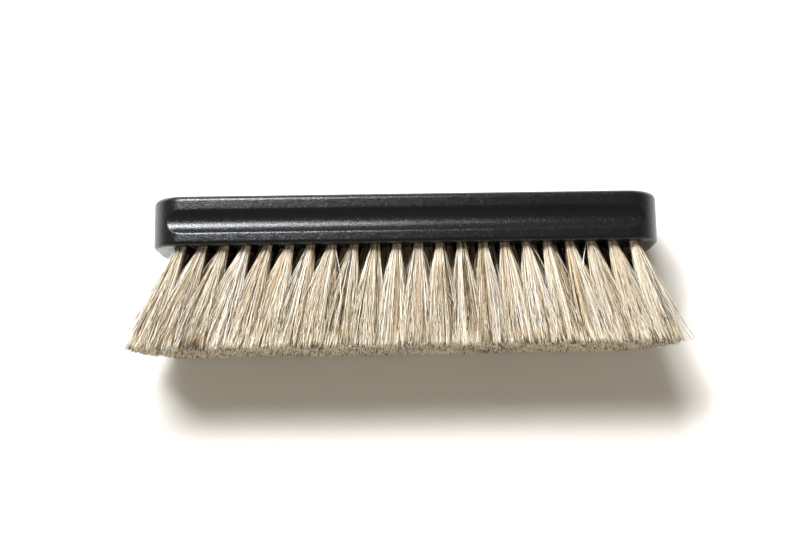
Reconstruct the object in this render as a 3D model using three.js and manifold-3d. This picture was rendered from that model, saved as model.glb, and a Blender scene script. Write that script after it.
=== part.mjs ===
// A hand-drawn horsehair brush: a lacquered wooden block with five staggered rows of tufts.
// Millimetres. The brush lies on its long side: X runs along the block, the hair points
// towards -Y, and Z is up, across the block's width.

import * as THREE from "three";
import { mergeVertices } from "three/addons/utils/BufferGeometryUtils.js";
import Module from "manifold-3d";

const wasm = await Module();
wasm.setup();

// Block
const BLOCK_LENGTH = 228;
const BLOCK_WIDTH = 45;
const BLOCK_THICKNESS = 22.5;
const CORNER_RADIUS = 15;
const BACK_EDGE_RADIUS = 2.5;
const FACE_EDGE_RADIUS = 1.8;
const CORNER_STEPS = 9;
const EDGE_STEPS = 3;

// Finger groove along each long side
const GROOVE_WIDTH = 10.3;
const GROOVE_DEPTH = 1.9;
const GROOVE_BELOW_MIDDLE = 0.7;
const GROOVE_CUTTER_SIDES = 64;

// Hair
const HAIR_LENGTH = 46.5;
const TUFT_RADIUS = 2.2;
const TUFT_SIDES = 8;
const ROWS = 5;
const ROW_SPACING = 8;
const OUTER_ROW = { tufts: 22, rootSpan: 202.2, tipSpan: 238.4 };
const INNER_ROW = { tufts: 23, rootSpan: 206.4, tipSpan: 238.4 };
const ROOT_SHIFT = 0.9; // The holes are drilled a little off the block's middle
const MIDDLE_HALF_DEPTH = 3.5;
const TIP_CHAMFER = 1.2;

// Joinery
const GAP = 0.3;
const HOLE_DEPTH = 11;
const HOLE_RADIUS = TUFT_RADIUS + GAP;
const THROAT_RADIUS = 1.25;
const THROAT_SIDES = 6;
const WIRE_RADIUS = 0.3;
const WIRE_LOOP_HALF_WIDTH = 0.55;
const WIRE_TAIL = 3;
const CHANNEL_TAIL = 4;
const CHANNEL_WIDTH = 2 * THROAT_RADIUS + GAP;
const CHANNEL_DEPTH = 1.2;

// Levels along Y, with the origin under the middle of the whole brush
const TIP_Y = -(BLOCK_THICKNESS + HAIR_LENGTH) / 2;
const FACE_Y = TIP_Y + HAIR_LENGTH;
const BACK_Y = FACE_Y + BLOCK_THICKNESS;
const GROOVE_Y = (FACE_Y + BACK_Y) / 2 - GROOVE_BELOW_MIDDLE;
const SEAM_Y = GROOVE_Y + GROOVE_WIDTH / 2;
const HOLE_END_Y = FACE_Y + HOLE_DEPTH;
const CHANNEL_Y = SEAM_Y - CHANNEL_DEPTH;
const MIDDLE_Z = BLOCK_WIDTH / 2;

const lacquer = new THREE.MeshStandardMaterial({ color: 0x18181a, roughness: 0.45, metalness: 0 });
const horsehair = new THREE.MeshStandardMaterial({ color: 0xcdbb98, roughness: 0.6, metalness: 0 });
const steel = new THREE.MeshStandardMaterial({ color: 0xa8a8a8, roughness: 0.35, metalness: 1 });

// A three.js geometry as a manifold-3d solid.
function toSolid(geometry) {
  const bare = geometry.index ? geometry.toNonIndexed() : geometry.clone();
  bare.deleteAttribute("normal");
  bare.deleteAttribute("uv");
  const merged = mergeVertices(bare, 1e-4);
  const vertProperties = new Float32Array(merged.attributes.position.array);
  const triVerts = new Uint32Array(merged.index.array);
  return new wasm.Manifold(new wasm.Mesh({ numProp: 3, vertProperties, triVerts }));
}

// A manifold-3d solid as a named mesh.
function toMesh(name, solid, material) {
  const { numProp, vertProperties, triVerts } = solid.getMesh();
  const positions = [];
  for (const vertex of triVerts) {
    positions.push(...vertProperties.subarray(vertex * numProp, vertex * numProp + 3));
  }
  const geometry = new THREE.BufferGeometry();
  geometry.setAttribute("position", new THREE.Float32BufferAttribute(positions, 3));
  geometry.computeVertexNormals();
  const mesh = new THREE.Mesh(geometry, material);
  mesh.name = name;
  return mesh;
}

// A closed solid through rings of equally many points, with a flat convex cap at each end.
function loft(rings) {
  const positions = rings.flat().flatMap((point) => point.toArray());
  const count = rings[0].length;
  const faces = [];
  for (let ring = 0; ring < rings.length - 1; ring++) {
    for (let i = 0; i < count; i++) {
      const a = ring * count + i;
      const b = ring * count + ((i + 1) % count);
      faces.push(a, b, b + count, a, b + count, a + count);
    }
  }
  const last = (rings.length - 1) * count;
  for (let i = 1; i < count - 1; i++) {
    faces.push(0, i + 1, i);
    faces.push(last, last + i, last + i + 1);
  }
  const geometry = new THREE.BufferGeometry();
  geometry.setAttribute("position", new THREE.Float32BufferAttribute(positions, 3));
  geometry.setIndex(faces);
  return toSolid(geometry);
}

// The block's outline at one level, a rectangle with round corners, moved inwards by inset.
function outlineRing(y, inset) {
  const radius = CORNER_RADIUS - inset;
  const centreX = BLOCK_LENGTH / 2 - CORNER_RADIUS;
  const centreZ = BLOCK_WIDTH / 2 - CORNER_RADIUS;
  const corners = [
    [centreX, centreZ, Math.PI / 2],
    [centreX, -centreZ, 0],
    [-centreX, -centreZ, -Math.PI / 2],
    [-centreX, centreZ, -Math.PI],
  ];
  return corners.flatMap(([x, z, start]) =>
    Array.from({ length: CORNER_STEPS + 1 }, (_, step) => {
      const angle = start - (step / CORNER_STEPS) * (Math.PI / 2);
      return new THREE.Vector3(
        x + radius * Math.cos(angle),
        y,
        MIDDLE_Z + z + radius * Math.sin(angle),
      );
    }),
  );
}

// Rings that round the edge at level y, where direction is the way out of the board, 1 or -1.
function roundedEdge(y, direction, radius) {
  return Array.from({ length: EDGE_STEPS + 1 }, (_, step) => {
    const angle = (step / EDGE_STEPS) * (Math.PI / 2);
    const level = y - direction * radius * (1 - Math.sin(angle));
    return outlineRing(level, radius * (1 - Math.cos(angle)));
  });
}

// The cutter of one finger groove, a long cylinder beside the block. Side is 1 (top) or -1.
function grooveCutter(side) {
  const radius = ((GROOVE_WIDTH / 2) ** 2 + GROOVE_DEPTH ** 2) / (2 * GROOVE_DEPTH);
  const cutter = new THREE.CylinderGeometry(
    radius,
    radius,
    BLOCK_LENGTH + 2,
    GROOVE_CUTTER_SIDES,
  );
  cutter.rotateZ(Math.PI / 2);
  const offset = BLOCK_WIDTH / 2 + radius - GROOVE_DEPTH;
  cutter.translate(0, GROOVE_Y, MIDDLE_Z + side * offset);
  return toSolid(cutter);
}

function prismAlongY(radius, sides, fromY, toY, x, z) {
  const prism = new THREE.CylinderGeometry(radius, radius, toY - fromY, sides);
  prism.rotateY(Math.PI / sides);
  prism.translate(x, (fromY + toY) / 2, z);
  return toSolid(prism);
}

// Where one row's tufts stand, from the first at -X to the last at +X.
function rowLayout(row) {
  const { tufts, rootSpan, tipSpan } = row % 2 ? INNER_ROW : OUTER_ROW;
  const fromMiddle = row - (ROWS - 1) / 2;
  const rootPitch = rootSpan / (tufts - 1);
  const tipPitch = tipSpan / (tufts - 1);
  const places = Array.from({ length: tufts }, (_, i) => {
    const step = i - (tufts - 1) / 2;
    return { rootX: ROOT_SHIFT + step * rootPitch, tipX: step * tipPitch };
  });
  return { places, rootPitch, tipPitch, z: MIDDLE_Z - fromMiddle * ROW_SPACING };
}

// A drilled hole for one tuft, with the narrow throat that the wire comes down.
function tuftHole(x, z) {
  const hole = prismAlongY(HOLE_RADIUS, TUFT_SIDES, FACE_Y - 1, HOLE_END_Y, x, z);
  const throat = prismAlongY(THROAT_RADIUS, THROAT_SIDES, HOLE_END_Y - 1, CHANNEL_Y + 0.5, x, z);
  return hole.add(throat);
}

// The channel across one row's throats, in which its wire lies.
function wireChannel(layout) {
  const rootSpan = layout.rootPitch * (layout.places.length - 1);
  const length = rootSpan + 2 * CHANNEL_TAIL;
  const channel = new THREE.BoxGeometry(length, 2 * CHANNEL_DEPTH, CHANNEL_WIDTH);
  channel.translate(ROOT_SHIFT, SEAM_Y, layout.z);
  return toSolid(channel);
}

function baseBoard(rows) {
  const rings = [...roundedEdge(FACE_Y, -1, FACE_EDGE_RADIUS).reverse(), outlineRing(SEAM_Y, 0)];
  let board = loft(rings).subtract(grooveCutter(1)).subtract(grooveCutter(-1));
  for (const layout of rows) {
    const cuts = layout.places.map(({ rootX }) => tuftHole(rootX, layout.z));
    board = board.subtract(wasm.Manifold.union([wireChannel(layout), ...cuts]));
  }
  return toMesh("base_board", board, lacquer);
}

function coverBoard() {
  const rings = [outlineRing(SEAM_Y + GAP, 0), ...roundedEdge(BACK_Y, 1, BACK_EDGE_RADIUS)];
  return toMesh("cover_board", loft(rings), lacquer);
}

// One tuft's cross-section: eight points, from a round root to a chamfered cell.
function tuftSection(x, y, z, halfWidth, halfDepth, chamfer) {
  const corners = [
    [-halfWidth, halfDepth - chamfer],
    [-halfWidth + chamfer, halfDepth],
    [halfWidth - chamfer, halfDepth],
    [halfWidth, halfDepth - chamfer],
    [halfWidth, -halfDepth + chamfer],
    [halfWidth - chamfer, -halfDepth],
    [-halfWidth + chamfer, -halfDepth],
    [-halfWidth, -halfDepth + chamfer],
  ];
  return corners.map(([dx, dz]) => new THREE.Vector3(x + dx, y, z + dz));
}

// One tuft, straight in its hole, then spread until it meets its neighbours halfway down.
// Spare is the clearance that it keeps to each neighbour in its row, or less than 0 to join them.
function tuftSolid(layout, { rootX, tipX }, spare) {
  const flat = TUFT_RADIUS * Math.cos(Math.PI / TUFT_SIDES);
  const rootChamfer = flat - TUFT_RADIUS * Math.sin(Math.PI / TUFT_SIDES);
  const middleHalfWidth = (layout.rootPitch + layout.tipPitch) / 4 - spare;
  const tipHalfWidth = layout.tipPitch / 2 - spare;
  const tipHalfDepth = (ROW_SPACING - GAP) / 2;
  const middleX = (rootX + tipX) / 2;
  const middleY = (FACE_Y + TIP_Y) / 2;
  const rings = [
    [tipX, TIP_Y, layout.z, tipHalfWidth, tipHalfDepth, TIP_CHAMFER],
    [middleX, middleY, layout.z, middleHalfWidth, MIDDLE_HALF_DEPTH, TIP_CHAMFER],
    [rootX, FACE_Y, layout.z, flat, flat, rootChamfer],
    [rootX, HOLE_END_Y - GAP, layout.z, flat, flat, rootChamfer],
  ];
  return loft(rings.map((ring) => tuftSection(...ring)));
}

function separateTufts(layout, rowName) {
  return layout.places.map((place, i) => {
    const number = String(i + 1).padStart(2, "0");
    return toMesh(`tuft_${rowName}_${number}`, tuftSolid(layout, place, GAP / 2), horsehair);
  });
}

// A row between the outer ones, whose tufts' hair runs together from halfway down.
function joinedTufts(layout, rowNumber) {
  const tufts = layout.places.map((place) => tuftSolid(layout, place, -GAP / 2));
  return toMesh(`tuft_row_${rowNumber}`, wasm.Manifold.union(tufts), horsehair);
}

// A row's wire: along its channel, with one loop down each throat to the tuft's bend.
function drawingWire(layout, rowNumber) {
  const runY = CHANNEL_Y + GAP + WIRE_RADIUS;
  const loopY = HOLE_END_Y + GAP + WIRE_RADIUS / 2;
  const first = layout.places[0].rootX;
  const last = layout.places.at(-1).rootX;
  const loops = layout.places.flatMap(({ rootX }) => [
    new THREE.Vector2(rootX - WIRE_LOOP_HALF_WIDTH, runY),
    new THREE.Vector2(rootX - WIRE_LOOP_HALF_WIDTH, loopY),
    new THREE.Vector2(rootX + WIRE_LOOP_HALF_WIDTH, loopY),
    new THREE.Vector2(rootX + WIRE_LOOP_HALF_WIDTH, runY),
  ]);
  const path = [
    new THREE.Vector2(first - WIRE_TAIL, runY),
    ...loops,
    new THREE.Vector2(last + WIRE_TAIL, runY),
  ];
  const rings = path.map((point, i) => wireRing(path, point, i, layout.z));
  return toMesh(`drawing_wire_${rowNumber}`, loft(rings), steel);
}

// Four points round the wire at one corner of its path, in the plane that halves the corner.
function wireRing(path, point, i, z) {
  const before = path[Math.max(i - 1, 0)];
  const after = path[Math.min(i + 1, path.length - 1)];
  const directions = [point.clone().sub(before), after.clone().sub(point)]
    .filter((direction) => direction.length() > 0)
    .map((direction) => direction.normalize());
  const along = directions.reduce((sum, d) => sum.add(d), new THREE.Vector2()).normalize();
  const reach = WIRE_RADIUS / along.dot(directions[0]);
  const side = new THREE.Vector2(-along.y, along.x).multiplyScalar(reach);
  return [
    new THREE.Vector3(point.x + side.x, point.y + side.y, z),
    new THREE.Vector3(point.x, point.y, z + WIRE_RADIUS),
    new THREE.Vector3(point.x - side.x, point.y - side.y, z),
    new THREE.Vector3(point.x, point.y, z - WIRE_RADIUS),
  ];
}

function buildBrush() {
  const rows = Array.from({ length: ROWS }, (_, row) => rowLayout(row));
  const brush = new THREE.Group();
  brush.add(baseBoard(rows), coverBoard());
  brush.add(...separateTufts(rows[0], "front"));
  brush.add(...rows.slice(1, -1).map((layout, i) => joinedTufts(layout, i + 2)));
  brush.add(...separateTufts(rows.at(-1), "back"));
  brush.add(...rows.map((layout, i) => drawingWire(layout, i + 1)));
  return brush;
}

export default buildBrush();
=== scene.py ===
"""A horsehair block brush lying on its side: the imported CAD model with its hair, lacquer, floor and light."""

import math

import bmesh
import bpy
import numpy as np
from mathutils import Matrix, Vector
from mathutils.geometry import delaunay_2d_cdt


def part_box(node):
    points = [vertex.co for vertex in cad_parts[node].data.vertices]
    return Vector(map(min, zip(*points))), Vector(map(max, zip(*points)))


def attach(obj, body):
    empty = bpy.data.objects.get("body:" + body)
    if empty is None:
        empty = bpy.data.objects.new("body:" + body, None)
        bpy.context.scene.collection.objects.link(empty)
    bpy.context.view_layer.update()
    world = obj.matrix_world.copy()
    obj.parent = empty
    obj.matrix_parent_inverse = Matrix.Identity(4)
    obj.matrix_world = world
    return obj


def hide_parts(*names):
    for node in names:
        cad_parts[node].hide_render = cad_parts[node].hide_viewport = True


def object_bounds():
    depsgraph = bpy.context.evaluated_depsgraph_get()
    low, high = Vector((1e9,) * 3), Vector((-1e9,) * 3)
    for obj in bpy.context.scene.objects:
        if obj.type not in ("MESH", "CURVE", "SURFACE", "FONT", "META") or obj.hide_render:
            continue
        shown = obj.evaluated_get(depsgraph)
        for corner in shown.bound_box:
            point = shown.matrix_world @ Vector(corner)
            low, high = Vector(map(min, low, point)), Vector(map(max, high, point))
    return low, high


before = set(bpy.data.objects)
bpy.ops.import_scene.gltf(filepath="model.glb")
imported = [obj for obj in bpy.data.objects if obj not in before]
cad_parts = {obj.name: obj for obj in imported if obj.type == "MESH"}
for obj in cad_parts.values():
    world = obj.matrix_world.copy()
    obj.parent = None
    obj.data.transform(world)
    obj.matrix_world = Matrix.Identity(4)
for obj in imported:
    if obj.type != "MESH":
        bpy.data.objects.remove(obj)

MM = 0.001
CAD_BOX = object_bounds()
RNG = np.random.default_rng(7)

# The block, read from the frame. It runs along X, with its hair towards -Y and its width upwards.
BASE_LOW, BASE_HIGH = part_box("base_board")
FACE_Y = BASE_LOW.y
SEAM_Y = BASE_HIGH.y
BACK_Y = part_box("cover_board")[1].y
TIP_Y = CAD_BOX[0].y
HALF_LENGTH = BASE_HIGH.x
HALF_WIDTH = BASE_HIGH.z / 2

# Block edges and finger grooves
CORNER_RADIUS = 15 * MM
BACK_EDGE_RADIUS = 2.5 * MM
FACE_EDGE_RADIUS = 1.8 * MM
GROOVE_WIDTH = 10.3 * MM
GROOVE_DEPTH = 1.9 * MM
GROOVE_Y = SEAM_Y - GROOVE_WIDTH / 2
GROOVE_EDGE_SOFTNESS = 0.25 * MM
CORNER_STEPS = 48
EDGE_STEPS = 9
LEVEL_STEP = 0.25 * MM
SHARP_ANGLE = math.radians(35)
WELD_DISTANCE = 1e-6
PLANE_TOLERANCE = 1e-7

# Joinery inside the block
HOLE_RADIUS = 2.5 * MM
HOLE_DEPTH = 11 * MM
HOLE_SIDES = 24
THROAT_RADIUS = 1.25 * MM
CHANNEL_DEPTH = 1.2 * MM
CHANNEL_HALF_WIDTH = 1.4 * MM
WIRE_TAIL = 3 * MM
CHANNEL_TAIL = 4 * MM

# Rows of tufts, from the upper side down to the floor's side
ROW_TUFTS = (22, 23, 22, 23, 22)
ROW_SPACING = 8 * MM
OUTER_HAIR = {"hairs": 400, "rings": 9}  # in each tuft
MIDDLE_HAIR = {"hairs": 225, "rings": 6}

# Outline of the trimmed end. Its corners start at CORNER_FROM from the middle, and those on the
# floor's side are cut the most.
TIP_SPAN = 238.4 * MM
TIP_REACH = 129 * MM
TIP_HALF_DEPTH = 20 * MM
TIP_OVERLAP = 1.1
TIP_LEAN = -1.3 * MM
TIP_SQUARENESS = 0.7
CORNER_FROM = 90 * MM
LOW_CORNER = 24 * MM
LOW_CORNER_HEIGHT = 18 * MM
LOW_CORNER_POWER = 1.5
HIGH_CORNER = 3 * MM
HIGH_CORNER_FROM = 30 * MM
HIGH_CORNER_HEIGHT = 12 * MM
HIGH_CORNER_POWER = 2

# Thinner hair past SPARSE_FROM, cut shorter by END_RISE, per metre, times the square of the distance
SPARSE_FROM = 114 * MM
SPARSE_SHARE = 0.15
SPARSE_STRETCH = (0.9, 1.5)
DENSE_STRETCH = (0.4, 1.1)
END_RISE = 11
END_ZONE = 5 * MM

# Trim: a slight slope along X, uneven by bunch and by hair, with some hairs short
TRIM_SLOPE = 0.0036
BUNCH_LIFT = 1.5 * MM
UNEVEN_TRIM = 0.3 * MM
SHORT_SHARE = 0.2
SHORT_BY = 14 * MM

# How the hairs of one tuft run, from a tight root to bunches that open out, drift and cross
BUNCHES = 70
GATHERED = (0.2, 0.9)  # of the way to the bunch's middle
ROOT_RADIUS = 1.95 * MM
ROOT_HIDDEN = 4 * MM
DRIFT = 0.5 * MM
CROSSING_DRIFT = 2.3 * MM
CROSSING_SHARE = 0.45
DRIFT_POWER = 1.5
OPENING_ALONG = (1.15, 1.95)  # powers: the higher, the nearer the root
OPENING_ACROSS = (0.9, 1.3)
OPENING_AT_END = 0.85
SWAY = 0.4 * MM
STRAY_SWAY = 5
STRAY_SHARE = 0.025
KINK = 0.38 * MM
KINK_WAVES = 3.5  # in one hair's length
KINK_POWER = 0.7

# One hair. Its tone runs from 0, white, to 1, nearly black, and END_STEP is the share of its length
# that takes the end's tone.
HAIR_SIDES = 3
HAIR_RADIUS = 0.125 * MM
HAIR_THICKNESS = (0.5, 1.6)  # times the radius
HAIR_TAPER = (1.05, 0.8)  # times that, from root to end
END_STEP = 0.03
ALIKE_SHARE = 0.25
# Dark ends are partly painted shade: they stand in for the shade in the gaps between the bunches' cut ends as
# well as for hair ends that are dark.
DARK_END_SHARE = 0.35
DARK_END_TONE = (0.8, 1)
LIGHT_END_TONE = 0.1
LIGHT_END_OWN_TONE = 0.45  # how much of the hair's own tone a light end adds
# Painted shade: the caps at the cut ends take a yellower, slightly darker copy of the hair's colour, the warm
# cast of the trimmed end, which faces away from the lamps.
CUT_END_SHADE_TINT = (1, 0.92, 0.64)

# Camera, aimed below the middle of the block's upper side
CAMERA_LENS = 56.25
CAMERA_SENSOR = 36
CAMERA_CLIP = 10 * MM
CAMERA_DISTANCE = 551 * MM
CAMERA_TILT = math.radians(9.55)
CAMERA_ROLL = math.radians(0.805)
AIM_X = -2.7 * MM
AIM_BELOW_MIDDLE = 22.26 * MM

FLOOR_HALF = 3000 * MM


def make_camera():
    """The camera above the brush, tilted so that the trimmed ends of the hair just show."""
    aim = Vector((AIM_X, (FACE_Y + BACK_Y) / 2 - AIM_BELOW_MIDDLE, 2 * HALF_WIDTH))
    back = Vector((0, -math.sin(CAMERA_TILT), math.cos(CAMERA_TILT)))
    up = Vector((0, math.cos(CAMERA_TILT), math.sin(CAMERA_TILT)))
    turned = Matrix.Rotation(-CAMERA_ROLL, 3, back)
    axes = Matrix((turned @ Vector((1, 0, 0)), turned @ up, back)).transposed()
    data = bpy.data.cameras.new("camera")
    data.lens = CAMERA_LENS
    data.sensor_width = CAMERA_SENSOR
    data.clip_start = CAMERA_CLIP
    camera = bpy.data.objects.new("camera", data)
    camera.matrix_world = Matrix.Translation(aim + back * CAMERA_DISTANCE) @ axes.to_4x4()
    bpy.context.scene.collection.objects.link(camera)
    bpy.context.scene.camera = camera


# ---------------------------------------------------------------- materials


class Nodes:
    """A short way to build a node material."""

    def __init__(self, name):
        self.material = bpy.data.materials.new(name)
        self.material.use_nodes = True
        self.tree = self.material.node_tree
        self.shader = self.tree.nodes["Principled BSDF"]

    def add(self, kind, **settings):
        node = self.tree.nodes.new("ShaderNode" + kind)
        for key, value in settings.items():
            if key in node.inputs:
                node.inputs[key].default_value = value
            else:
                setattr(node, key, value)
        return node

    def link(self, source, target):
        self.tree.links.new(source, target)

    def noise(self, scale, detail=2.0, stretch=(1, 1, 1)):
        """A noise in metres; scale is features per metre, and stretch makes them longer along an axis."""
        place = self.add("TexCoord")
        mapping = self.add("Mapping")
        mapping.inputs["Scale"].default_value = [1 / s for s in stretch]
        self.link(place.outputs["Object"], mapping.inputs["Vector"])
        noise = self.add("TexNoise", Scale=scale, Detail=detail)
        self.link(mapping.outputs["Vector"], noise.inputs["Vector"])
        return noise.outputs["Fac"]

    def ramp(self, source, stops):
        """A colour ramp through stops of (position, colour)."""
        ramp = self.add("ValToRGB")
        elements = ramp.color_ramp.elements
        while len(elements) < len(stops):
            elements.new(0.5)
        for element, (position, colour) in zip(elements, stops):
            element.position = position
            element.color = (*colour, 1)
        self.link(source, ramp.inputs["Fac"])
        return ramp.outputs["Color"]

    def between(self, source, low, high, start=0.0, end=1.0):
        """Source, a factor, mapped from start..end to low..high."""
        node = self.add("MapRange")
        for key, value in zip(("From Min", "From Max", "To Min", "To Max"), (start, end, low, high)):
            node.inputs[key].default_value = value
        self.link(source, node.inputs["Value"])
        return node.outputs["Result"]

    def bump(self, height, distance):
        node = self.add("Bump", Distance=distance)
        self.link(height, node.inputs["Height"])
        return node.outputs["Normal"]

    def shaded(self, settings):
        """The material, with its shader's inputs set to values or linked to other nodes' outputs."""
        for key, value in settings.items():
            if isinstance(value, bpy.types.NodeSocket):
                self.link(value, self.shader.inputs[key])
            else:
                self.shader.inputs[key].default_value = value
        return self.material


def lacquer_material():
    """Black satin lacquer with a fine speckle, over wood."""
    m = Nodes("black_lacquer")
    grain = m.noise(60, detail=3.0, stretch=(4, 1, 1))
    blacks = [(0.3, (0.002, 0.002, 0.0025)), (0.7, (0.0045, 0.0045, 0.0052))]
    speckle = m.noise(700)
    return m.shaded({
        "Base Color": m.ramp(grain, blacks),
        "Roughness": m.between(speckle, 0.20, 0.29, start=0.3, end=0.7),
        "Normal": m.bump(m.noise(1900), 0.1 * MM),
        "Specular IOR Level": 0.62,
        "Specular Tint": (0.93, 0.96, 1, 1),
    })


def hair_material(name, tint):
    """Pale horsehair: each hair has its own tone, from white through tan to a few dark ones."""
    m = Nodes(name)
    tone = m.add("Attribute", attribute_name="tone").outputs["Fac"]
    stops = [
        (0.00, (0.90, 0.875, 0.83)),
        (0.32, (0.83, 0.78, 0.67)),
        (0.55, (0.72, 0.605, 0.42)),
        (0.74, (0.50, 0.37, 0.215)),
        (0.86, (0.22, 0.15, 0.08)),
        (0.93, (0.06, 0.045, 0.025)),
    ]
    tinted = [(p, tuple(c * k for c, k in zip(rgb, tint))) for p, rgb in stops]
    return m.shaded({"Base Color": m.ramp(tone, tinted), "Roughness": 0.42})


def grey(value):
    return (value, value, value)


def steel_material():
    """Bright drawn wire."""
    m = Nodes("drawing_wire_steel")
    return m.shaded({
        "Base Color": m.ramp(m.noise(2000), [(0.3, grey(0.45)), (0.7, grey(0.62))]),
        "Metallic": 1.0,
        "Roughness": m.between(m.noise(4000), 0.25, 0.45),
    })


def floor_material():
    """Matt, nearly white."""
    m = Nodes("pale_floor")
    whites = [(0.3, (0.82, 0.812, 0.79)), (0.7, (0.84, 0.832, 0.81))]
    return m.shaded({
        "Base Color": m.ramp(m.noise(3), whites),
        "Roughness": 0.9,
        "Specular IOR Level": 0.2,
    })


# ---------------------------------------------------------------- block


class Shell:
    """The points and faces of one closed mesh, gathered ring by ring and welded at the end."""

    def __init__(self):
        self.points = []
        self.faces = []

    def ring(self, points):
        start = len(self.points)
        self.points.extend(points)
        return range(start, len(self.points))

    def band(self, lower, upper):
        """Quads between two rings of equally many points."""
        count = len(lower)
        for i in range(count):
            j = (i + 1) % count
            self.faces.append((lower[i], lower[j], upper[j], upper[i]))

    def bands(self, rings):
        for lower, upper in zip(rings, rings[1:]):
            self.band(lower, upper)

    def plane(self, y, outline, openings):
        """A flat sheet at level y, inside outline and outside the openings, all lists of (x, z)."""
        flat = []
        loops = []
        for loop in (outline, *openings):
            loops.append(list(range(len(flat), len(flat) + len(loop))))
            flat.extend(Vector(point) for point in loop)
        inside_without_holes = 2
        points, _, faces, *_ = delaunay_2d_cdt(flat, [], loops, inside_without_holes, PLANE_TOLERANCE)
        placed = self.ring([(p.x, y, p.y) for p in points])
        self.faces.extend(tuple(placed[i] for i in face) for face in faces)

    def piece(self, name, material):
        mesh = bpy.data.meshes.new(name)
        mesh.from_pydata(self.points, [], self.faces)
        work = bmesh.new()
        work.from_mesh(mesh)
        bmesh.ops.remove_doubles(work, verts=work.verts, dist=WELD_DISTANCE)
        bmesh.ops.recalc_face_normals(work, faces=work.faces)
        for face in work.faces:
            face.smooth = True
        work.to_mesh(mesh)
        work.free()
        mesh.set_sharp_from_angle(angle=SHARP_ANGLE)
        return add_piece(name, mesh, [material])


def add_piece(name, mesh, materials):
    """The mesh as an object that rides on the one body."""
    for material in materials:
        mesh.materials.append(material)
    piece = bpy.data.objects.new(name, mesh)
    bpy.context.scene.collection.objects.link(piece)
    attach(piece, "root")
    return piece


def groove_depth(y):
    """How deep the finger grooves are at level y; less than 0 beside them."""
    radius = ((GROOVE_WIDTH / 2) ** 2 + GROOVE_DEPTH**2) / (2 * GROOVE_DEPTH)
    reach = min(abs(y - GROOVE_Y), radius)
    return math.sqrt(radius**2 - reach**2) - (radius - GROOVE_DEPTH)


def soft_min(a, b, softness):
    return (a + b - np.sqrt((a - b) ** 2 + softness**2)) / 2


def block_outline(y, inset):
    """The block's outline at level y as (x, z) points, with its grooves cut in."""
    angles = np.linspace(0, math.pi / 2, CORNER_STEPS + 1)
    radius = CORNER_RADIUS - inset
    x = HALF_LENGTH - CORNER_RADIUS + radius * np.cos(angles)
    z = HALF_WIDTH - CORNER_RADIUS + radius * np.sin(angles)
    z = soft_min(z, HALF_WIDTH - groove_depth(y), GROOVE_EDGE_SOFTNESS)
    quarter = np.stack([x, z], 1)
    turned = quarter[::-1] * (-1, 1)
    loop = np.concatenate([quarter, turned, -quarter, -turned])
    return [(px, HALF_WIDTH + pz) for px, pz in loop]


def edge_levels(y, inwards, radius):
    """(level, inset) pairs over a rounded edge, from the flat at y to the side wall."""
    for step in range(EDGE_STEPS + 1):
        angle = step / EDGE_STEPS * math.pi / 2
        yield y + inwards * radius * (1 - math.cos(angle)), radius * (1 - math.sin(angle))


def wall_levels(start, end):
    """(level, inset) pairs up the side wall, after start."""
    steps = round(abs(end - start) / LEVEL_STEP)
    return [(start + (end - start) * i / steps, 0.0) for i in range(1, steps + 1)]


def wall(shell, levels):
    """The block's side wall through (level, inset) pairs."""
    shell.bands([
        shell.ring([(x, y, z) for x, z in block_outline(y, inset)])
        for y, inset in levels
    ])


def circle(x, z, radius):
    angles = [2 * math.pi * i / HOLE_SIDES for i in range(HOLE_SIDES)]
    return [(x + radius * math.cos(a), z + radius * math.sin(a)) for a in angles]


def row_places(row):
    """Root and tip places, (x, z) each, of one row's tufts."""
    tufts = ROW_TUFTS[row]
    wire_low, wire_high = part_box(f"drawing_wire_{row + 1}")
    root_x = np.linspace(wire_low.x + WIRE_TAIL, wire_high.x - WIRE_TAIL, tufts)
    tip_x = np.linspace(-TIP_SPAN / 2, TIP_SPAN / 2, tufts)
    from_middle = (len(ROW_TUFTS) - 1) / 2 - row
    z = HALF_WIDTH + from_middle * ROW_SPACING
    return [((rx, z), (tx, z)) for rx, tx in zip(root_x, tip_x)]


def stepped_hole(shell, x, z):
    """One tuft's hole with its throat, up to the wire channel's floor."""
    hole_end = FACE_Y + HOLE_DEPTH
    levels = [
        (FACE_Y, HOLE_RADIUS),
        (hole_end, HOLE_RADIUS),
        (hole_end, THROAT_RADIUS),
        (SEAM_Y - CHANNEL_DEPTH, THROAT_RADIUS),
    ]
    shell.bands([
        shell.ring([(px, y, pz) for px, pz in circle(x, z, radius)])
        for y, radius in levels
    ])


def wire_channel(shell, roots):
    """The channel over one row's throats, and its outline at the seam."""
    (first, z), (last, _) = roots[0], roots[-1]
    outline = [
        (first - CHANNEL_TAIL, z - CHANNEL_HALF_WIDTH),
        (last + CHANNEL_TAIL, z - CHANNEL_HALF_WIDTH),
        (last + CHANNEL_TAIL, z + CHANNEL_HALF_WIDTH),
        (first - CHANNEL_TAIL, z + CHANNEL_HALF_WIDTH),
    ]
    floor_y = SEAM_Y - CHANNEL_DEPTH
    shell.plane(floor_y, outline, [circle(*root, THROAT_RADIUS) for root in roots])
    shell.bands([shell.ring([(px, y, pz) for px, pz in outline]) for y in (floor_y, SEAM_Y)])
    return outline


def base_board(lacquer):
    """The drilled half of the block, closed by its holes and channels."""
    shell = Shell()
    face = list(edge_levels(FACE_Y, 1, FACE_EDGE_RADIUS))
    wall(shell, face + wall_levels(face[-1][0], SEAM_Y))
    rows = [[root for root, _ in row_places(row)] for row in range(len(ROW_TUFTS))]
    holes = [root for roots in rows for root in roots]
    for root in holes:
        stepped_hole(shell, *root)
    shell.plane(FACE_Y, block_outline(*face[0]), [circle(*root, HOLE_RADIUS) for root in holes])
    channels = [wire_channel(shell, roots) for roots in rows]
    shell.plane(SEAM_Y, block_outline(SEAM_Y, 0), channels)
    piece = shell.piece("base_board_lacquered", lacquer)
    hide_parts("base_board")


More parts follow.
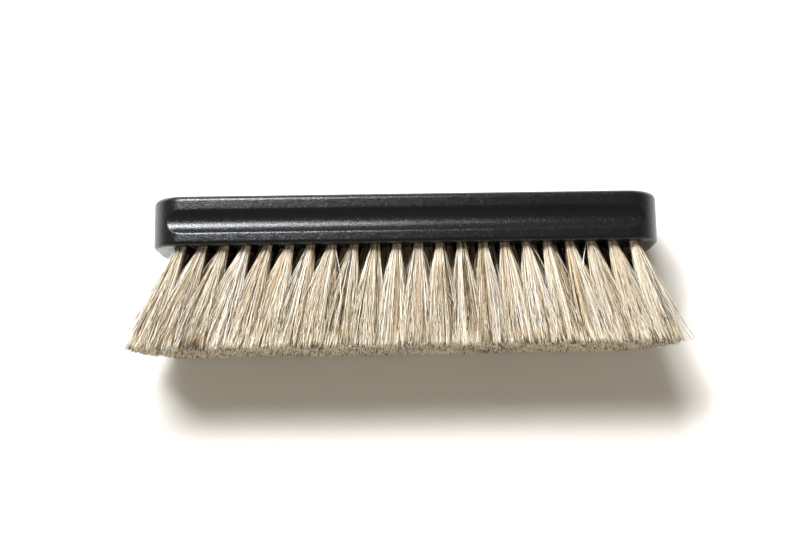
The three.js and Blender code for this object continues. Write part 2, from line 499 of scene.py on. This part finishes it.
def cover_board(lacquer):
    """The back half of the block."""
    shell = Shell()
    back = list(edge_levels(BACK_Y, -1, BACK_EDGE_RADIUS))
    wall(shell, back + wall_levels(back[-1][0], SEAM_Y))
    shell.plane(BACK_Y, block_outline(*back[0]), [])
    shell.plane(SEAM_Y, block_outline(SEAM_Y, 0), [])
    piece = shell.piece("cover_board_lacquered", lacquer)
    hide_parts("cover_board")


# ---------------------------------------------------------------- hair


def disk(count):
    """Even random points in a unit disk."""
    radius = np.sqrt(RNG.random(count))
    angle = RNG.random(count) * 2 * math.pi
    return np.stack([radius * np.cos(angle), radius * np.sin(angle)], 1)


def squared(points):
    """Points in a unit disk, spread towards the corners of its square."""
    size = np.abs(points).max(1, keepdims=True)
    reach = np.linalg.norm(points, axis=1, keepdims=True)
    never_zero = np.maximum(size, 1e-6)
    return points * (reach / never_zero) ** TIP_SQUARENESS


def tip_reach(z):
    """How far the tips reach along X at height z."""
    low = np.clip((HALF_WIDTH - z) / LOW_CORNER_HEIGHT, 0, 1)
    high = np.clip((z - HIGH_CORNER_FROM) / HIGH_CORNER_HEIGHT, 0, 1)
    return TIP_REACH - LOW_CORNER * low**LOW_CORNER_POWER - HIGH_CORNER * high**HIGH_CORNER_POWER


def tip_places(tip, tip_pitch, gathered, drift):
    """The (x, z) places of the hair ends of one tuft, thinner towards the ends of the brush."""
    hairs = len(gathered)
    cell = np.array([tip_pitch, ROW_SPACING]) / 2 * TIP_OVERLAP
    x, z = (np.array(tip) + squared(gathered) * cell + drift).T
    z = np.clip(z, HALF_WIDTH - TIP_HALF_DEPTH, HALF_WIDTH + TIP_HALF_DEPTH)
    past = np.maximum(np.abs(x) - SPARSE_FROM, 0)
    sparse = RNG.random(hairs) < SPARSE_SHARE
    stretch = np.where(sparse, RNG.uniform(*SPARSE_STRETCH, hairs), RNG.uniform(*DENSE_STRETCH, hairs))
    reach = np.abs(x) + past * (stretch - 1)
    over = np.maximum(reach - CORNER_FROM, 0)
    reach += over * ((tip_reach(z) - CORNER_FROM) / (TIP_REACH - CORNER_FROM) - 1)
    return np.stack([np.sign(x) * reach + TIP_LEAN, z], 1)


def opening(t, past):
    """How far the hairs have opened out at t, 0 at the root and 1 at the end, along X and along Z."""
    at_end = np.minimum(past / END_ZONE, 1)
    early = RNG.uniform(*OPENING_ALONG, len(past))
    along = early + (OPENING_AT_END - early) * at_end
    power = np.stack([along, RNG.uniform(*OPENING_ACROSS, len(past))], 1)
    return 1 - (1 - t) ** power[:, None]


def waves(t, hairs):
    """The hairs' slow sway, wide for a few strays, and their fine kink."""
    stray = np.where(RNG.random((hairs, 1, 1)) < STRAY_SHARE, STRAY_SWAY, 1)
    sway = RNG.normal(0, SWAY, (hairs, 1, 2)) * np.sin(math.pi * t) * stray
    phase = RNG.uniform(0, 2 * math.pi, (hairs, 1, 2))
    wave = np.sin(phase + 2 * math.pi * KINK_WAVES * t)
    kink = RNG.normal(0, KINK, (hairs, 1, 2)) * wave * t**KINK_POWER
    return sway, kink


def end_levels(tip_x, bunch, past):
    """The Y level at which each hair is cut."""
    hairs = len(bunch)
    lift = (RNG.random(BUNCHES) * BUNCH_LIFT)[bunch] + np.abs(RNG.normal(0, UNEVEN_TRIM, hairs))
    lift += np.where(RNG.random(hairs) < SHORT_SHARE, RNG.random(hairs) * SHORT_BY, 0)
    return TIP_Y + TRIM_SLOPE * tip_x + lift + past**2 * END_RISE


def hair_tones(bunch, rings):
    """Each hair's tone at its rings, some alike in a bunch, with the last two darker or lighter."""
    hairs = len(bunch)
    alike = RNG.random(hairs) < ALIKE_SHARE
    tone = np.where(alike, RNG.random(BUNCHES)[bunch], RNG.random(hairs))
    tones = np.repeat(tone[:, None], rings, 1)
    # The dark ends are partly painted shade, for the gaps between the bunches' cut ends, and partly dark hair
    # ends.
    dark_end = (RNG.random(BUNCHES) < DARK_END_SHARE)[bunch]
    light_end = LIGHT_END_TONE + LIGHT_END_OWN_TONE * tone
    tones[:, -2:] = np.where(dark_end, RNG.uniform(*DARK_END_TONE, hairs), light_end)[:, None]
    return tones


def tuft_paths(root, tip, tip_pitch, hairs, rings):
    """The middle lines of one tuft's hairs, as (hairs, rings + 1, 3), and their tones."""
    place = disk(hairs)
    bunches = disk(BUNCHES)
    bunch = np.argmin(((place[:, None] - bunches[None]) ** 2).sum(2), 1)
    gathered = place + (bunches[bunch] - place) * RNG.uniform(*GATHERED, (hairs, 1))
    crossing = RNG.random((hairs, 1)) < CROSSING_SHARE
    drift = RNG.normal(0, 1, (hairs, 2)) * np.where(crossing, CROSSING_DRIFT, DRIFT)
    end_place = tip_places(tip, tip_pitch, gathered, drift)
    tip_offset = end_place - np.array(tip) - drift
    root_offset = place * ROOT_RADIUS
    past = np.maximum(np.abs(end_place[:, 0]) - SPARSE_FROM, 0)

    t = np.append(np.linspace(0, 1 - END_STEP, rings - 1), 1)[None, :, None]
    spread = opening(t, past)
    sway, kink = waves(t, hairs)
    axis = np.array(root) + (np.array(tip) - np.array(root)) * t
    across = axis + root_offset[:, None] + (tip_offset - root_offset)[:, None] * spread
    across += drift[:, None] * t**DRIFT_POWER + sway + kink

    end = end_levels(tip[0], bunch, past)
    down = FACE_Y + (end[:, None, None] - FACE_Y) * t
    paths = np.concatenate([across[..., :1], down, across[..., 1:]], 2)
    hidden = paths[:, :1] + (0, ROOT_HIDDEN, 0)
    return np.concatenate([hidden, paths], 1), hair_tones(bunch, rings + 1)


def hair_mesh(name, paths, tones):
    """One mesh of tapered three-sided hairs along the paths, each closed at both ends."""
    count, rings, _ = paths.shape
    radius = HAIR_RADIUS * RNG.uniform(*HAIR_THICKNESS, (count, 1, 1))
    taper = np.linspace(*HAIR_TAPER, rings)[None, :, None]
    corners = np.arange(HAIR_SIDES) * 2 * math.pi / HAIR_SIDES
    angle = RNG.uniform(0, 2 * math.pi, (count, 1, 1)) + corners
    around = np.stack([np.cos(angle), np.zeros_like(angle), np.sin(angle)], -1)
    points = paths[:, :, None] + around * (radius * taper)[..., None]

    first = np.arange(count)[:, None, None] * rings * HAIR_SIDES
    ring = np.arange(rings - 1)[None, :, None] * HAIR_SIDES
    side = np.arange(HAIR_SIDES)[None, None]
    a = first + ring + side
    b = first + ring + (side + 1) % HAIR_SIDES
    quads = np.stack([a, b, b + HAIR_SIDES, a + HAIR_SIDES], -1).reshape(-1, 4)
    root_cap = first[:, 0] + np.arange(HAIR_SIDES)[::-1]
    tip_cap = first[:, 0] + (rings - 1) * HAIR_SIDES + np.arange(HAIR_SIDES)
    caps = np.concatenate([root_cap, tip_cap])

    mesh = bpy.data.meshes.new(name)
    mesh.vertices.add(count * rings * HAIR_SIDES)
    mesh.vertices.foreach_set("co", points.ravel())
    loops = np.concatenate([quads.ravel(), caps.ravel()])
    mesh.loops.add(len(loops))
    mesh.loops.foreach_set("vertex_index", loops)
    cap_starts = quads.size + np.arange(len(caps)) * HAIR_SIDES
    starts = np.concatenate([np.arange(len(quads)) * 4, cap_starts])
    mesh.polygons.add(len(starts))
    mesh.polygons.foreach_set("loop_start", starts)
    is_cap = np.arange(len(starts)) >= len(quads)
    mesh.polygons.foreach_set("use_smooth", ~is_cap)
    # The caps take the second material, the cut ends' copy of the hair with painted warm shade.
    mesh.polygons.foreach_set("material_index", is_cap.astype(np.int32))
    mesh.update(calc_edges=True)
    tone = mesh.attributes.new("tone", "FLOAT", "POINT")
    tone.data.foreach_set("value", np.repeat(tones.ravel(), HAIR_SIDES))
    mesh.validate()
    return mesh


def hair_piece(name, node, tufts, tip_pitch, amount, materials):
    """The hair of one or more tufts, in place of one CAD node."""
    made = [tuft_paths(root, tip, tip_pitch, **amount) for root, tip in tufts]
    paths = np.concatenate([paths for paths, _ in made])
    tones = np.concatenate([tones for _, tones in made])
    piece = add_piece(name, hair_mesh(name, paths, tones), materials)
    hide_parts(node)


def make_hair(materials):
    """A piece for each tuft of the outer rows, and one for each middle row."""
    for row, tufts in enumerate(ROW_TUFTS):
        places = row_places(row)
        pitch = TIP_SPAN / (tufts - 1)
        if 0 < row < len(ROW_TUFTS) - 1:
            node = f"tuft_row_{row + 1}"
            hair_piece(f"{node}_hair", node, places, pitch, MIDDLE_HAIR, materials)
            continue
        side = "front" if row == 0 else "back"
        for number, place in enumerate(places, 1):
            node = f"tuft_{side}_{number:02d}"
            hair_piece(f"{node}_hair", node, [place], pitch, OUTER_HAIR, materials)


# ---------------------------------------------------------------- stage and light


def make_floor():
    corners = [(-1, -1), (1, -1), (1, 1), (-1, 1)]
    mesh = bpy.data.meshes.new("floor")
    mesh.from_pydata([(FLOOR_HALF * x, FLOOR_HALF * y, 0) for x, y in corners], [], [(0, 1, 2, 3)])
    mesh.materials.append(floor_material())
    floor = bpy.data.objects.new("floor", mesh)
    bpy.context.scene.collection.objects.link(floor)


def area_light(name, towards, distance, size, watts):
    """A rectangular lamp that shines at the brush, from the direction towards."""
    towards = Vector(towards).normalized()
    data = bpy.data.lights.new(name, "AREA")
    data.shape = "RECTANGLE"
    data.size, data.size_y = size
    data.energy = watts
    light = bpy.data.objects.new(name, data)
    light.location = towards * distance
    light.rotation_mode = "QUATERNION"
    light.rotation_quaternion = towards.to_track_quat("Z", "Y")
    bpy.context.scene.collection.objects.link(light)
    return light


def make_lights():
    """A soft key and a panel, above and behind the block, and a warm card low beyond the hair's ends.

    These three light the brush and cast its shadow, but don't show in the lacquer. Its highlight
    comes from the gloss lamp, which shows only in reflections.
    """
    key = area_light("key", towards=(-0.57, 0.73, 1.0), distance=1.66, size=(0.52, 0.42), watts=32)
    gloss = area_light("gloss", towards=(-0.40, 0.68, 1.0), distance=1.0, size=(0.36, 0.25), watts=12.5)
    panel = area_light("panel", towards=(-0.22, 1.08, 1.0), distance=1.0, size=(0.40, 0.42), watts=14)
    card = area_light("card", towards=(0.0, -1.0, 0.3), distance=0.9, size=(0.90, 0.25), watts=1.0)
    card.data.color = (1, 0.88, 0.70)
    card.data.spread = math.radians(100)
    for lamp in (key, panel, card):
        lamp.visible_glossy = False
    gloss.visible_diffuse = False


def make_room():
    """A pale grey room up to the horizon and just above it, darker and warmer overhead."""
    world = bpy.data.worlds.new("studio")
    world.use_nodes = True
    bpy.context.scene.world = world
    tree = world.node_tree
    place = tree.nodes.new("ShaderNodeTexCoord")
    split = tree.nodes.new("ShaderNodeSeparateXYZ")
    ramp = tree.nodes.new("ShaderNodeValToRGB")
    horizon, overhead = ramp.color_ramp.elements
    horizon.position, horizon.color = 0.05, (*grey(0.56), 1)
    overhead.position, overhead.color = 0.5, (0.218, 0.194, 0.152, 1)
    tree.links.new(place.outputs["Generated"], split.inputs[0])
    tree.links.new(split.outputs["Z"], ramp.inputs["Fac"])
    tree.links.new(ramp.outputs["Color"], tree.nodes["Background"].inputs["Color"])
    bpy.context.scene.view_settings.view_transform = "Standard"  # keeps the floor as white as the photo's


make_camera()
LACQUER = lacquer_material()
base_board(LACQUER)
cover_board(LACQUER)
# The second hair material is the cut ends' copy, tinted as painted warm shade.
make_hair([hair_material("horsehair", (1, 1, 1)), hair_material("horsehair_cut_ends", CUT_END_SHADE_TINT)])
STEEL = steel_material()
for wire in range(1, len(ROW_TUFTS) + 1):
    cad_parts[f"drawing_wire_{wire}"].data.materials[0] = STEEL
make_floor()
make_lights()
make_room()
